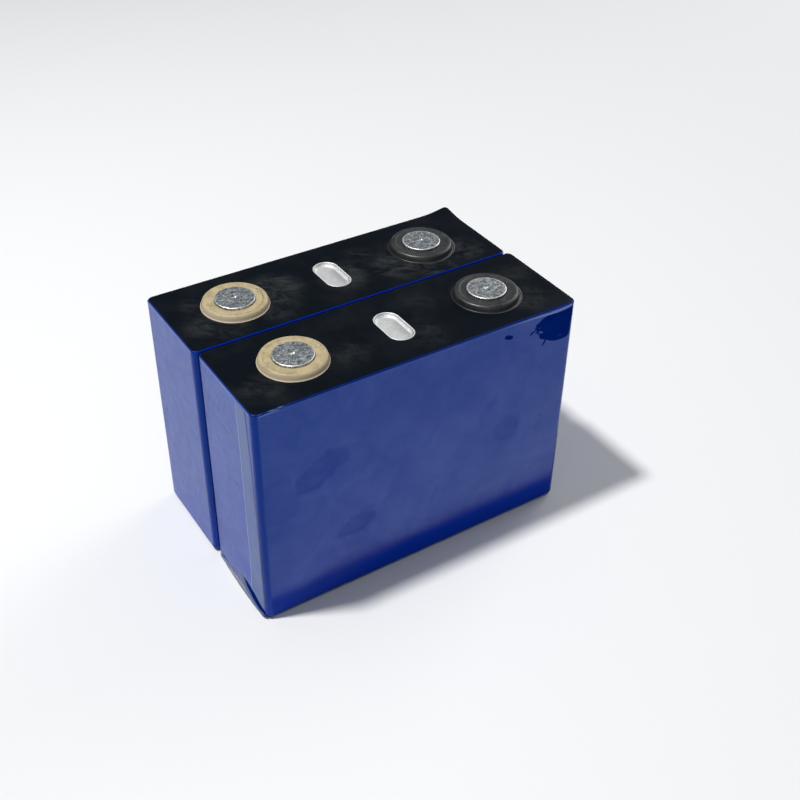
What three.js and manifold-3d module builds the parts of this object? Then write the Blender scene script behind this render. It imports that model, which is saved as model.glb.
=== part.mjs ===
// Two prismatic lithium iron phosphate cells, 160 x 50 x 118 mm class, standing side by side.
//
// Millimetres, +Z up. X runs along the wide faces and Y through the thickness of the cells.
// The origin is on the ground, at the middle of the pair. Both cells are the same assembly:
// an aluminium can with a welded lid, two riveted terminals, two wound electrode rolls in an
// insulating bag, and a plastic film and sheets around the outside.

import * as THREE from 'three';
import { mergeVertices } from 'three/addons/utils/BufferGeometryUtils.js';
import Module from 'manifold-3d';

const wasm = await Module();
wasm.setup();

// ---- Driving dimensions -------------------------------------------------------------------

const CELL_WIDTH = 160;
const CELL_DEPTH = 50;
const TOP_FACE = 114.4; // upper side of the black sheet
const PAD_TOP = 117.8; // overall height
const CORNER_RADIUS = 3; // upright corners, outside the film

const CELL_GAP = 0.4; // between the two cells
const CELL_STAGGER = 1.4; // how much further left the rear cell stands

const TOUCH = 0.05; // clearance between pieces that are stuck, welded or pressed together
const LOOSE = 0.1; // clearance between pieces that only lie against each other

const SHEET_THICKNESS = 0.4;
const SHEET_INSET = 0.8; // how far its edge stays inside the cell's outline
const SHEET_HOLE_RADIUS = 15.8; // round each terminal
const BOTTOM_SHEET_THICKNESS = 0.3;
const BOTTOM_SHEET_INSET = 1;

const FILM_THICKNESS = 0.3;
const FILM_TURN_IN = 12; // how far the film is folded under the can

const CAN_WALL = 0.8;
const CAN_FLOOR = 1.25;
const LID_THICKNESS = 2;

const TERMINAL_X = 48.4; // either side of the middle
const POLE_RADIUS = 5;
const POLE_SPIGOT_RADIUS = 3;
const POLE_SPIGOT_LENGTH = 1.2;
const POLE_FLANGE_RADIUS = 8.5;
const POLE_FLANGE_THICKNESS = 1.65;
const LID_POLE_HOLE_RADIUS = 7;
const SEAL_FLANGE_RADIUS = 8;
const SEAL_FLANGE_THICKNESS = 1.25;

const PAD_RADIUS = 8.9;
const PAD_THICKNESS = 2.5;
const PAD_CHAMFER = 0.3;
const PAD_DIMPLE_RADIUS = 1.1;
const PAD_DIMPLE_DEPTH = 0.5;

const COLLAR_FLANGE_RADIUS = 15.3;
const COLLAR_FLANGE_RISE = 0.9; // above the black sheet
const COLLAR_WALL_RADIUS = 14.9; // where the wall leaves the flange
const COLLAR_TOP_RADIUS = 14.2;
const COLLAR_RISE = 2.73; // above the black sheet
const COLLAR_EDGE = 0.55; // rounding of its upper edge
const COLLAR_DISH = 0.12; // how far its top falls towards the pad

const VENT_HALF_STRAIGHT = 5.45; // the vent is an oblong across the lid
const VENT_SHEET_RADIUS = 6.25;
const VENT_SEAT_RADIUS = 5.9;
const VENT_THROAT_RADIUS = 4.4;
const VENT_SEAT_DEPTH = 1.55; // below the lid's upper side
const VENT_RIM_THICKNESS = 0.5;
const VENT_PANEL_THICKNESS = 0.3;
const VENT_PANEL_RADIUS = 4.7;

const FILL_X = 26;
const FILL_HOLE_RADIUS = 1.6;
const FILL_CAP_RADIUS = 4;
const FILL_CAP_THICKNESS = 0.5;
const FILL_PLUG_BELOW_LID = 0.8;

const LOWER_INSULATOR_THICKNESS = 1.5;
const LOWER_INSULATOR_NEAR_X = 12; // distances from the cell's middle
const LOWER_INSULATOR_FAR_X = 76;
const LOWER_INSULATOR_DEPTH = 42;
const LOWER_INSULATOR_FILL_RADIUS = 3;

const COLLECTOR_THICKNESS = 1.6;
const COLLECTOR_LENGTH = 40; // along X, over its two wings
const COLLECTOR_WEB_LENGTH = 22; // along X, under the pole
const COLLECTOR_DEPTH = 36;
const COLLECTOR_WING_DEPTH = 8;

const TAB_LENGTH = 34; // along X
const TAB_THICKNESS = 1;

const BAG_THICKNESS = 0.3;
const BAG_TOP = 104;
const SPACER_THICKNESS = 1;
const SPACER_MARGIN = 1;

const ROLL_LENGTH = 153;
const ROLL_THICKNESS = 23;
const ROLL_TOP = 100.5;
const ROLL_SPACING = 23.4; // between the middles of the two rolls
const ROLL_CORE_LENGTH = 128; // the flat slit left by the winding core
const ROLL_CORE_WIDTH = 0.8;

const ROUND_SEGMENTS = 32;
const HIDDEN_SEGMENTS = 16;
const OBLONG_SEGMENTS = 10; // round each end of the vent
const CORNER_SEGMENTS = 4; // in each quarter circle

// ---- Levels and sizes that follow from them -----------------------------------------------

const LID_TOP = TOP_FACE - SHEET_THICKNESS - TOUCH;
const LID_BOTTOM = LID_TOP - LID_THICKNESS;
const FILM_BOTTOM = BOTTOM_SHEET_THICKNESS + TOUCH;
const FILM_LIP_BOTTOM = LID_TOP + TOUCH;
const FILM_TOP = FILM_LIP_BOTTOM + FILM_THICKNESS;
const CAN_BOTTOM = FILM_BOTTOM + FILM_THICKNESS + LOOSE;
const CAN_INSIDE_BOTTOM = CAN_BOTTOM + CAN_FLOOR;
const BAG_BOTTOM = CAN_INSIDE_BOTTOM + LOOSE;
const SPACER_BOTTOM = BAG_BOTTOM + BAG_THICKNESS + LOOSE;
const ROLL_BOTTOM = SPACER_BOTTOM + SPACER_THICKNESS + LOOSE;

const PAD_BOTTOM = PAD_TOP - PAD_THICKNESS;
const POLE_SHOULDER = PAD_BOTTOM - LOOSE;
const SEAL_BOTTOM = LID_BOTTOM - TOUCH - SEAL_FLANGE_THICKNESS;
const POLE_FLANGE_TOP = SEAL_BOTTOM - TOUCH;
const POLE_BOTTOM = POLE_FLANGE_TOP - POLE_FLANGE_THICKNESS;
const COLLECTOR_TOP = POLE_BOTTOM - TOUCH;
const COLLECTOR_BOTTOM = COLLECTOR_TOP - COLLECTOR_THICKNESS;
const TAB_TOP = COLLECTOR_BOTTOM - TOUCH;
const TAB_BOTTOM = ROLL_TOP + LOOSE;
const VENT_SEAT = LID_TOP - VENT_SEAT_DEPTH;
const FILL_CAP_BOTTOM = LID_TOP - FILL_CAP_THICKNESS - TOUCH;

const BEYOND = 1; // how far a cutting shape runs past what it cuts

// An upright rounded block of the cell's outline, moved inwards by the inset.
const outlineAt = (inset) => roundedRectangle(
  CELL_WIDTH - 2 * inset,
  CELL_DEPTH - 2 * inset,
  CORNER_RADIUS - inset,
);
const CAN_INSET = FILM_THICKNESS + LOOSE;
const CAVITY_INSET = CAN_INSET + CAN_WALL;

// ---- Shapes -------------------------------------------------------------------------------

function roundedRectangle(width, depth, radius, x = 0, y = 0) {
  const left = x - width / 2;
  const right = x + width / 2;
  const front = y - depth / 2;
  const back = y + depth / 2;
  const shape = new THREE.Shape();
  shape.moveTo(left + radius, front);
  shape.lineTo(right - radius, front);
  shape.absarc(right - radius, front + radius, radius, -Math.PI / 2, 0);
  shape.lineTo(right, back - radius);
  shape.absarc(right - radius, back - radius, radius, 0, Math.PI / 2);
  shape.lineTo(left + radius, back);
  shape.absarc(left + radius, back - radius, radius, Math.PI / 2, Math.PI);
  shape.lineTo(left, front + radius);
  shape.absarc(left + radius, front + radius, radius, Math.PI, 1.5 * Math.PI);
  return shape;
}

// An oblong with round ends. Its straight sides run along Y.
function oblong(radius, halfStraight) {
  const shape = new THREE.Shape();
  shape.moveTo(radius, -halfStraight);
  shape.lineTo(radius, halfStraight);
  shape.absarc(0, halfStraight, radius, 0, Math.PI);
  shape.lineTo(-radius, -halfStraight);
  shape.absarc(0, -halfStraight, radius, Math.PI, 2 * Math.PI);
  return shape;
}

function polygon(points) {
  return new THREE.Shape(points.map(([x, y]) => new THREE.Vector2(x, y)));
}

// ---- Solids -------------------------------------------------------------------------------

function toSolid(geometry) {
  const bare = geometry.clone();
  bare.deleteAttribute('normal');
  bare.deleteAttribute('uv');
  const merged = mergeVertices(bare, 1e-4);
  const corners = merged.index.array;
  const kept = [];
  for (let i = 0; i < corners.length; i += 3) {
    const [a, b, c] = corners.slice(i, i + 3);
    if (a !== b && b !== c && c !== a) kept.push(a, b, c);
  }
  return new wasm.Manifold(new wasm.Mesh({
    numProp: 3,
    vertProperties: merged.attributes.position.array,
    triVerts: new Uint32Array(kept),
  }));
}

function toGeometry(solid) {
  const mesh = solid.getMesh();
  const geometry = new THREE.BufferGeometry();
  geometry.setAttribute('position', new THREE.BufferAttribute(mesh.vertProperties, 3));
  geometry.setIndex(new THREE.BufferAttribute(mesh.triVerts, 1));
  geometry.computeVertexNormals();
  return geometry;
}

// A shape drawn on the ground, raised between two levels.
function slab(shape, bottom, top, curveSegments = CORNER_SEGMENTS) {
  const geometry = new THREE.ExtrudeGeometry(shape, {
    depth: top - bottom,
    bevelEnabled: false,
    curveSegments,
  });
  geometry.translate(0, 0, bottom);
  return toSolid(geometry);
}

// A profile of [radius, height] points turned about an upright axis at x.
function turned(profile, x, segments) {
  const points = profile.map(([radius, height]) => new THREE.Vector2(radius, height));
  const geometry = new THREE.LatheGeometry(points, segments);
  geometry.rotateX(Math.PI / 2);
  geometry.translate(x, 0, 0);
  return toSolid(geometry);
}

const closedRing = (profile) => [...profile, profile[0]];

function disc(radius, bottom, top, x, segments = ROUND_SEGMENTS) {
  const profile = [[0, bottom], [radius, bottom], [radius, top], [0, top]];
  return turned(profile, x, segments);
}

function oblongSlab(radius, bottom, top) {
  return slab(oblong(radius, VENT_HALF_STRAIGHT), bottom, top, OBLONG_SEGMENTS);
}

// ---- Outside: film, sheets, can and lid ---------------------------------------------------

// A sleeve round the can, folded in a little over the lid and further in under the floor.
function wrapFilm() {
  const outside = slab(outlineAt(0), FILM_BOTTOM, FILM_TOP);
  const inside = slab(outlineAt(FILM_THICKNESS), FILM_BOTTOM + FILM_THICKNESS, FILM_LIP_BOTTOM);
  const mouth = slab(outlineAt(SHEET_INSET - TOUCH), CAN_BOTTOM, FILM_TOP + BEYOND);
  const floorOpening = roundedRectangle(
    CELL_WIDTH - 2 * FILM_TURN_IN,
    CELL_DEPTH - 2 * FILM_TURN_IN,
    CORNER_RADIUS,
  );
  return outside
    .subtract(inside)
    .subtract(mouth)
    .subtract(slab(floorOpening, FILM_BOTTOM - BEYOND, CAN_BOTTOM));
}

function bottomSheet() {
  return slab(outlineAt(BOTTOM_SHEET_INSET), 0, BOTTOM_SHEET_THICKNESS);
}

function topSheet() {
  const bottom = TOP_FACE - SHEET_THICKNESS;
  let sheet = slab(outlineAt(SHEET_INSET), bottom, TOP_FACE);
  for (const x of [-TERMINAL_X, TERMINAL_X]) {
    sheet = sheet.subtract(disc(SHEET_HOLE_RADIUS, bottom - BEYOND, TOP_FACE + BEYOND, x));
  }
  return sheet.subtract(oblongSlab(VENT_SHEET_RADIUS, bottom - BEYOND, TOP_FACE + BEYOND));
}

function can() {
  const outside = slab(outlineAt(CAN_INSET), CAN_BOTTOM, LID_TOP);
  const cavity = slab(outlineAt(CAVITY_INSET), CAN_INSIDE_BOTTOM, LID_TOP + BEYOND);
  return outside.subtract(cavity);
}

function lid() {
  const below = LID_BOTTOM - BEYOND;
  const above = LID_TOP + BEYOND;
  let plate = slab(outlineAt(CAVITY_INSET + TOUCH), LID_BOTTOM, LID_TOP);
  for (const x of [-TERMINAL_X, TERMINAL_X]) {
    plate = plate.subtract(disc(LID_POLE_HOLE_RADIUS, below, above, x, HIDDEN_SEGMENTS));
  }
  return plate
    .subtract(oblongSlab(VENT_SEAT_RADIUS, VENT_SEAT, above))
    .subtract(oblongSlab(VENT_THROAT_RADIUS, below, above))
    .subtract(disc(FILL_HOLE_RADIUS, below, above, FILL_X, HIDDEN_SEGMENTS))
    .subtract(disc(FILL_CAP_RADIUS, FILL_CAP_BOTTOM - TOUCH, above, FILL_X, HIDDEN_SEGMENTS));
}

// ---- Vent and filling hole ----------------------------------------------------------------

function ventDisc() {
  const bottom = VENT_SEAT + TOUCH;
  const rim = oblongSlab(VENT_SEAT_RADIUS - TOUCH, bottom, bottom + VENT_RIM_THICKNESS);
  const panelTop = bottom + VENT_PANEL_THICKNESS;
  return rim.subtract(oblongSlab(VENT_PANEL_RADIUS, panelTop, panelTop + BEYOND));
}

function fillPlug() {
  const radius = FILL_HOLE_RADIUS - TOUCH;
  const top = FILL_CAP_BOTTOM - LOOSE;
  const bottom = LID_BOTTOM - FILL_PLUG_BELOW_LID;
  const profile = [[0, bottom], [radius / 2, bottom], [radius, LID_BOTTOM], [radius, top], [0, top]];
  return turned(profile, FILL_X, HIDDEN_SEGMENTS);
}

function fillCap() {
  const top = FILL_CAP_BOTTOM + FILL_CAP_THICKNESS;
  return disc(FILL_CAP_RADIUS - TOUCH, FILL_CAP_BOTTOM, top, FILL_X, HIDDEN_SEGMENTS);
}

// ---- Terminals ----------------------------------------------------------------------------

function pad(x) {
  const socketRadius = POLE_SPIGOT_RADIUS + TOUCH;
  const socketTop = POLE_SHOULDER + POLE_SPIGOT_LENGTH + LOOSE;
  return turned([
    [0, socketTop],
    [socketRadius, socketTop],
    [socketRadius, PAD_BOTTOM],
    [PAD_RADIUS, PAD_BOTTOM],
    [PAD_RADIUS, PAD_TOP - PAD_CHAMFER],
    [PAD_RADIUS - PAD_CHAMFER, PAD_TOP],
    [PAD_DIMPLE_RADIUS, PAD_TOP],
    [0, PAD_TOP - PAD_DIMPLE_DEPTH],
  ], x, ROUND_SEGMENTS);
}

function pole(x) {
  const spigotTop = POLE_SHOULDER + POLE_SPIGOT_LENGTH;
  return turned([
    [0, POLE_BOTTOM],
    [POLE_FLANGE_RADIUS, POLE_BOTTOM],
    [POLE_FLANGE_RADIUS, POLE_FLANGE_TOP],
    [POLE_RADIUS, POLE_FLANGE_TOP],
    [POLE_RADIUS, POLE_SHOULDER],
    [POLE_SPIGOT_RADIUS, POLE_SHOULDER],
    [POLE_SPIGOT_RADIUS, spigotTop],
    [0, spigotTop],
  ], x, HIDDEN_SEGMENTS);
}

// The plastic collar between the lid and the pad. The pad sits in its cup.
function upperInsulator(x) {
  const bottom = LID_TOP + TOUCH;
  const top = TOP_FACE + COLLAR_RISE;
  const flangeTop = TOP_FACE + COLLAR_FLANGE_RISE;
  const holeRadius = POLE_RADIUS + LOOSE;
  const cupRadius = PAD_RADIUS + LOOSE;
  const cupBottom = PAD_BOTTOM - TOUCH;
  return turned(closedRing([
    [holeRadius, bottom],
    [COLLAR_FLANGE_RADIUS, bottom],
    [COLLAR_FLANGE_RADIUS, flangeTop],
    [COLLAR_WALL_RADIUS, flangeTop],
    [COLLAR_TOP_RADIUS, top - COLLAR_EDGE],
    [COLLAR_TOP_RADIUS - COLLAR_EDGE, top],
    [cupRadius, top - COLLAR_DISH],
    [cupRadius, cupBottom],
    [holeRadius, cupBottom],
  ]), x, ROUND_SEGMENTS);
}

// A rubber ring squeezed between the pole's flange and the lid, with a neck up the lid's hole.
function sealRing(x) {
  const flangeTop = SEAL_BOTTOM + SEAL_FLANGE_THICKNESS;
  const inside = POLE_RADIUS + LOOSE;
  const neck = LID_POLE_HOLE_RADIUS - LOOSE;
  return turned(closedRing([
    [inside, SEAL_BOTTOM],
    [SEAL_FLANGE_RADIUS, SEAL_BOTTOM],
    [SEAL_FLANGE_RADIUS, flangeTop],
    [neck, flangeTop],
    [neck, LID_TOP - TOUCH],
    [inside, LID_TOP - TOUCH],
  ]), x, HIDDEN_SEGMENTS);
}

// A plastic plate under the lid. The one on the filling hole's side is holed for it.
function lowerInsulator(x) {
  const side = Math.sign(x);
  const middle = side * (LOWER_INSULATOR_NEAR_X + LOWER_INSULATOR_FAR_X) / 2;
  const length = LOWER_INSULATOR_FAR_X - LOWER_INSULATOR_NEAR_X;
  const top = LID_BOTTOM - TOUCH;
  const bottom = top - LOWER_INSULATOR_THICKNESS;
  const shape = roundedRectangle(length, LOWER_INSULATOR_DEPTH, CORNER_RADIUS / 2, middle);
  const poleHole = disc(
    POLE_FLANGE_RADIUS + LOOSE, bottom - BEYOND, top + BEYOND, x, HIDDEN_SEGMENTS,
  );
  const plate = slab(shape, bottom, top).subtract(poleHole);
  if (side !== Math.sign(FILL_X)) return plate;
  return plate.subtract(disc(
    LOWER_INSULATOR_FILL_RADIUS, bottom - BEYOND, top + BEYOND, FILL_X, HIDDEN_SEGMENTS,
  ));
}

// ---- Inside: collectors, foil tabs, rolls, bag and spacer ---------------------------------

// An H-shaped plate: a web under the pole and a wing over each roll.
function collector(x) {
  const wing = COLLECTOR_LENGTH / 2;
  const web = COLLECTOR_WEB_LENGTH / 2;
  const edge = COLLECTOR_DEPTH / 2;
  const notch = edge - COLLECTOR_WING_DEPTH;
  const outline = [
    [-wing, -edge], [wing, -edge], [wing, -notch], [web, -notch],
    [web, notch], [wing, notch], [wing, edge], [-wing, edge],
    [-wing, notch], [-web, notch], [-web, -notch], [-wing, -notch],
  ];
  const plate = slab(polygon(outline), COLLECTOR_BOTTOM, COLLECTOR_TOP);
  return plate.translate([x, 0, 0]);
}

// A stack of foils welded under one wing and folded down onto the middle of one roll.
function foilTab(x, side) {
  const weldFar = COLLECTOR_DEPTH / 2;
  const weldNear = weldFar - COLLECTOR_WING_DEPTH + TAB_THICKNESS;
  const rollY = ROLL_SPACING / 2;
  const bend = (TAB_TOP + TAB_BOTTOM) / 2;
  const half = TAB_THICKNESS / 2;
  const profile = [
    [rollY - half, TAB_BOTTOM],
    [rollY + half, TAB_BOTTOM],
    [rollY + half, bend - TAB_THICKNESS],
    [weldFar, TAB_TOP - 2 * TAB_THICKNESS],
    [weldFar, TAB_TOP],
    [weldNear, TAB_TOP],
    [weldNear, TAB_TOP - TAB_THICKNESS],
    [weldFar - TAB_THICKNESS, TAB_TOP - TAB_THICKNESS],
    [rollY - half, bend],
  ];
  const geometry = new THREE.ExtrudeGeometry(polygon(profile), {
    depth: TAB_LENGTH,
    bevelEnabled: false,
  });
  // The drawing's own X and Y become the cell's Y and Z.
  geometry.rotateY(Math.PI / 2);
  geometry.rotateX(Math.PI / 2);
  geometry.translate(x - TAB_LENGTH / 2, 0, 0);
  const tab = toSolid(geometry);
  return side > 0 ? tab : tab.mirror([0, 1, 0]);
}

// A flat winding on end, with the slit that its core left.
function jellyRoll(side) {
  const radius = ROLL_THICKNESS / 2;
  const y = side * ROLL_SPACING / 2;
  const winding = slab(
    roundedRectangle(ROLL_LENGTH, ROLL_THICKNESS, radius, 0, y), ROLL_BOTTOM, ROLL_TOP,
  );
  const coreShape = roundedRectangle(
    ROLL_CORE_LENGTH, ROLL_CORE_WIDTH, ROLL_CORE_WIDTH / 2, 0, y,
  );
  return winding.subtract(slab(coreShape, ROLL_BOTTOM - BEYOND, ROLL_TOP + BEYOND, 2));
}

function coreBag() {
  const inset = CAVITY_INSET + LOOSE;
  const outside = slab(outlineAt(inset), BAG_BOTTOM, BAG_TOP);
  const inside = slab(
    outlineAt(inset + BAG_THICKNESS), BAG_BOTTOM + BAG_THICKNESS, BAG_TOP + BEYOND,
  );
  return outside.subtract(inside);
}

function bottomSpacer() {
  const inset = CAVITY_INSET + LOOSE + BAG_THICKNESS + SPACER_MARGIN;
  return slab(outlineAt(inset), SPACER_BOTTOM, SPACER_BOTTOM + SPACER_THICKNESS);
}

// ---- Finishes -----------------------------------------------------------------------------

const FINISHES = {
  blueFilm: { color: 0x2a3a90, roughness: 0.35, metalness: 0 },
  blackSheet: { color: 0x15191d, roughness: 0.55, metalness: 0 },
  clearSheet: { color: 0x8d97a6, roughness: 0.4, metalness: 0 },
  aluminium: { color: 0xb4b8bb, roughness: 0.45, metalness: 1 },
  padMetal: { color: 0x9fa3a8, roughness: 0.4, metalness: 1 },
  copper: { color: 0xb06a45, roughness: 0.4, metalness: 1 },
  tanPlastic: { color: 0xc3b48c, roughness: 0.5, metalness: 0 },
  blackPlastic: { color: 0x2a2d30, roughness: 0.5, metalness: 0 },
  rubber: { color: 0x1c1c1c, roughness: 0.8, metalness: 0 },
  whitePlastic: { color: 0xd8dad6, roughness: 0.6, metalness: 0 },
  electrode: { color: 0x4a4a4c, roughness: 0.7, metalness: 0.2 },
};

// ---- Assembly -----------------------------------------------------------------------------

const POLARITIES = [
  { name: 'positive', x: -TERMINAL_X, collar: 'tanPlastic', metal: 'aluminium' },
  { name: 'negative', x: TERMINAL_X, collar: 'blackPlastic', metal: 'copper' },
];
const SIDES = [
  { name: '1', side: -1 },
  { name: '2', side: 1 },
];

function cellPieces() {
  const pieces = [
    ['wrap_film', wrapFilm(), 'blueFilm'],
    ['bottom_sheet', bottomSheet(), 'clearSheet'],
    ['top_sheet', topSheet(), 'blackSheet'],
    ['can', can(), 'aluminium'],
    ['lid', lid(), 'aluminium'],
    ['vent_disc', ventDisc(), 'aluminium'],
    ['fill_plug', fillPlug(), 'rubber'],
    ['fill_cap', fillCap(), 'aluminium'],
    ['core_bag', coreBag(), 'whitePlastic'],
    ['bottom_spacer', bottomSpacer(), 'whitePlastic'],
  ];
  for (const { name, x, collar, metal } of POLARITIES) {
    pieces.push([`${name}_pad`, pad(x), 'padMetal']);
    pieces.push([`${name}_pole`, pole(x), metal]);
    pieces.push([`${name}_upper_insulator`, upperInsulator(x), collar]);
    pieces.push([`${name}_seal_ring`, sealRing(x), 'rubber']);
    pieces.push([`${name}_lower_insulator`, lowerInsulator(x), 'blackPlastic']);
    pieces.push([`${name}_collector`, collector(x), metal]);
    for (const { name: number, side } of SIDES) {
      pieces.push([`${name}_foil_tab_${number}`, foilTab(x, side), metal]);
    }
  }
  for (const { name: number, side } of SIDES) {
    pieces.push([`jelly_roll_${number}`, jellyRoll(side), 'electrode']);
  }
  return pieces.map(([name, solid, finish]) => [name, toGeometry(solid), finish]);
}

function cell(prefix, pieces) {
  const group = new THREE.Group();
  for (const [name, geometry, finish] of pieces) {
    const mesh = new THREE.Mesh(geometry, new THREE.MeshStandardMaterial(FINISHES[finish]));
    mesh.name = `${prefix}_${name}`;
    group.add(mesh);
  }
  return group;
}

const pieces = cellPieces();
const halfPitch = (CELL_DEPTH + CELL_GAP) / 2;

const frontCell = cell('front', pieces);
frontCell.position.set(CELL_STAGGER / 2, -halfPitch, 0);

const rearCell = cell('rear', pieces);
rearCell.position.set(-CELL_STAGGER / 2, halfPitch, 0);

const cellPair = new THREE.Group();
cellPair.add(frontCell, rearCell);

export default cellPair;
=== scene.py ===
"""Two film-wrapped prismatic cells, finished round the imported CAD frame.

Shapes are worked out in millimetres in each cell's own frame (x and y from the middle of the
cell, z from the ground) and put into the frame, in metres, when a mesh is made.
"""

from math import acos, atan2, cos, exp, hypot, pi, radians, sin, sqrt

import bpy
import numpy as np
from mathutils import Matrix, Vector, geometry, noise


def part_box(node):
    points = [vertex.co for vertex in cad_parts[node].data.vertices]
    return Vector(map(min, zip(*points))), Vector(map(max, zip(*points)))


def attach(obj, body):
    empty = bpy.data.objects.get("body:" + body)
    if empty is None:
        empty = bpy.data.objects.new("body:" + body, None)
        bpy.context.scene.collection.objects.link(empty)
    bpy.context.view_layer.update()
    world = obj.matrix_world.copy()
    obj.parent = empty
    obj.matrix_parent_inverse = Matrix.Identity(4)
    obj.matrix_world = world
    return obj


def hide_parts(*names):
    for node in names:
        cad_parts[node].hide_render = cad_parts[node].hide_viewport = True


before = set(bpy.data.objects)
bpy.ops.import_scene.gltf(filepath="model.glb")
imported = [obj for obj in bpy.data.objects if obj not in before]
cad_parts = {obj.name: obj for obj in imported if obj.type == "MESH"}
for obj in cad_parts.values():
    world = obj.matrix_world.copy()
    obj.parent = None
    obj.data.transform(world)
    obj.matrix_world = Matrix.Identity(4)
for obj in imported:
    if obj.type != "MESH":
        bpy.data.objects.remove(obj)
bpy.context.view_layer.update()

MM = 0.001
SEEDS = {"front": 1, "rear": 2}


# ---- Sizes, in millimetres --------------------

def cell_middle(prefix):
    low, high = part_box(f"{prefix}_wrap_film")
    return (low + high) / 2


def local_box(piece, prefix="front"):
    """The lowest and highest corner of a CAD node in its own cell's millimetres."""
    low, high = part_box(f"{prefix}_{piece}")
    middle = cell_middle(prefix)
    middle.z = 0
    return (low - middle) / MM, (high - middle) / MM


FILM_LOW, FILM_HIGH = local_box("wrap_film")
SHEET_LOW, SHEET_HIGH = local_box("top_sheet")
LID_LOW, LID_HIGH = local_box("lid")
VENT_LOW, VENT_HIGH = local_box("vent_disc")
PAD_LOW, PAD_HIGH = local_box("positive_pad")

HALF_WIDTH, HALF_DEPTH = FILM_HIGH.x, FILM_HIGH.y
PAD_X = (PAD_LOW.x + PAD_HIGH.x) / 2
TERMINAL_X = {"positive": PAD_X, "negative": -PAD_X}
VENT_SEAT_RADIUS = (VENT_HIGH.x - VENT_LOW.x) / 2
VENT_HALF_STRAIGHT = (VENT_HIGH.y - VENT_LOW.y) / 2 - VENT_SEAT_RADIUS

CORNER_RADIUS = 3
SHEET_HOLE_RADIUS = {"positive": 15.25, "negative": 15.8}
SHEET_VENT_RADIUS = 6.25
LID_POLE_HOLE_RADIUS = 7
LID_THROAT_RADIUS = 4.4
FILL_X = 26
FILL_HOLE_RADIUS = 1.6
FILL_SEAT_RADIUS = 2.45
FILL_SEAT_DEPTH = 0.6
ROLL_LENGTH = 153


# ---- Meshes --------------------

def add_object(name, data):
    obj = bpy.data.objects.new(name, data)
    bpy.context.scene.collection.objects.link(obj)
    return obj


def add_piece(prefix, name, shape, look, slot, replaced=None, sharp=50, **layers):
    """A smooth-shaded piece of a cell, sharp past an angle. Its shape is (points, faces), in
    the cell's millimetres. layers store a number for each point, for the material to read."""
    points, faces = shape
    middle = cell_middle(prefix)
    mesh = bpy.data.meshes.new(f"{prefix}_{name}")
    places = np.array(points, float) * MM + (middle.x, middle.y, 0)
    mesh.from_pydata(places.tolist(), [], faces)
    mesh.polygons.foreach_set("use_smooth", [True] * len(mesh.polygons))
    mesh.set_sharp_from_angle(angle=radians(sharp))
    for layer, values in layers.items():
        mesh.attributes.new(layer, "FLOAT", "POINT").data.foreach_set("value", values)
    mesh.materials.append(MATERIALS[look])
    obj = add_object(mesh.name, mesh)
    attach(obj, f"{prefix}_cell")
    if replaced:
        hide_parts(f"{prefix}_{replaced}")


def grid_faces(rows, columns, closed_rows=False, closed_columns=True):
    """Quads of a grid of points stored row by row. Rows run down and columns to the right."""
    faces = []
    for row in range(rows if closed_rows else rows - 1):
        here, below = row * columns, (row + 1) % rows * columns
        for column in range(columns if closed_columns else columns - 1):
            beside = (column + 1) % columns
            faces.append((here + column, below + column, below + beside, here + beside))
    return faces


def outline(inset, columns):
    """The cell's rounded outline moved inwards, with a point for each column."""
    radius = max(CORNER_RADIUS - inset, 0.3)
    across, deep = HALF_WIDTH - inset - radius, HALF_DEPTH - inset - radius
    return [(share_x * across + radius * cos(angle), share_y * deep + radius * sin(angle))
            for _, _, share_x, share_y, angle in columns]


def outline_columns(wide, narrow, corner):
    """The columns of an outline, anticlockwise from the front face's left end. Each is
    (x side, y side, share along x, share along y, angle of the outward normal)."""
    columns = []
    for turn, (sx, sy) in enumerate(((0, -1), (1, 0), (0, 1), (-1, 0))):
        normal = (turn - 1) * pi / 2
        for share in np.linspace(-1, 1, (narrow if sx else wide) + 1):
            ends = (sx, sx * share) if sx else (-sy * share, sy)
            columns.append((sx, sy, *ends, normal))
        for step in range(1, corner):
            columns.append((0, 0, *ends, normal + pi / 2 * step / corner))
    return columns


def circle(radius, x, segments):
    angles = np.linspace(0, 2 * pi, segments, endpoint=False)
    return [(x + radius * cos(a), radius * sin(a)) for a in angles]


def oblong(radius):
    """The vent's outline, anticlockwise from the right side's lower end."""
    segments, straight = 36, 4
    loop = []
    for end in (1, -1):
        middle = end * VENT_HALF_STRAIGHT
        loop += [(end * radius, middle * (2 * step / straight - 1)) for step in range(straight)]
        for step in range(segments + 1):
            angle = pi * step / segments + (0 if end > 0 else pi)
            loop.append((radius * cos(angle), middle + radius * sin(angle)))
    return loop


def offset_loop(loop, distance):
    """An anticlockwise loop moved outwards."""
    points = np.array(loop)
    along = np.roll(points, -1, 0) - np.roll(points, 1, 0)
    along /= np.linalg.norm(along, axis=1)[:, None]
    outward = np.stack((along[:, 1], -along[:, 0]), axis=1)
    return [tuple(p) for p in points + outward * distance]


def inside_loop(points, loop):
    x, y = points[:, 0][:, None], points[:, 1][:, None]
    ax, ay = np.array(loop).T
    bx, by = np.roll(ax, -1), np.roll(ay, -1)
    crosses = (ay > y) != (by > y)
    level = np.where(by == ay, 1e-9, by - ay)
    return (crosses & (x < (bx - ax) * (y - ay) / level + ax)).sum(1) % 2 == 1


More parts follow.
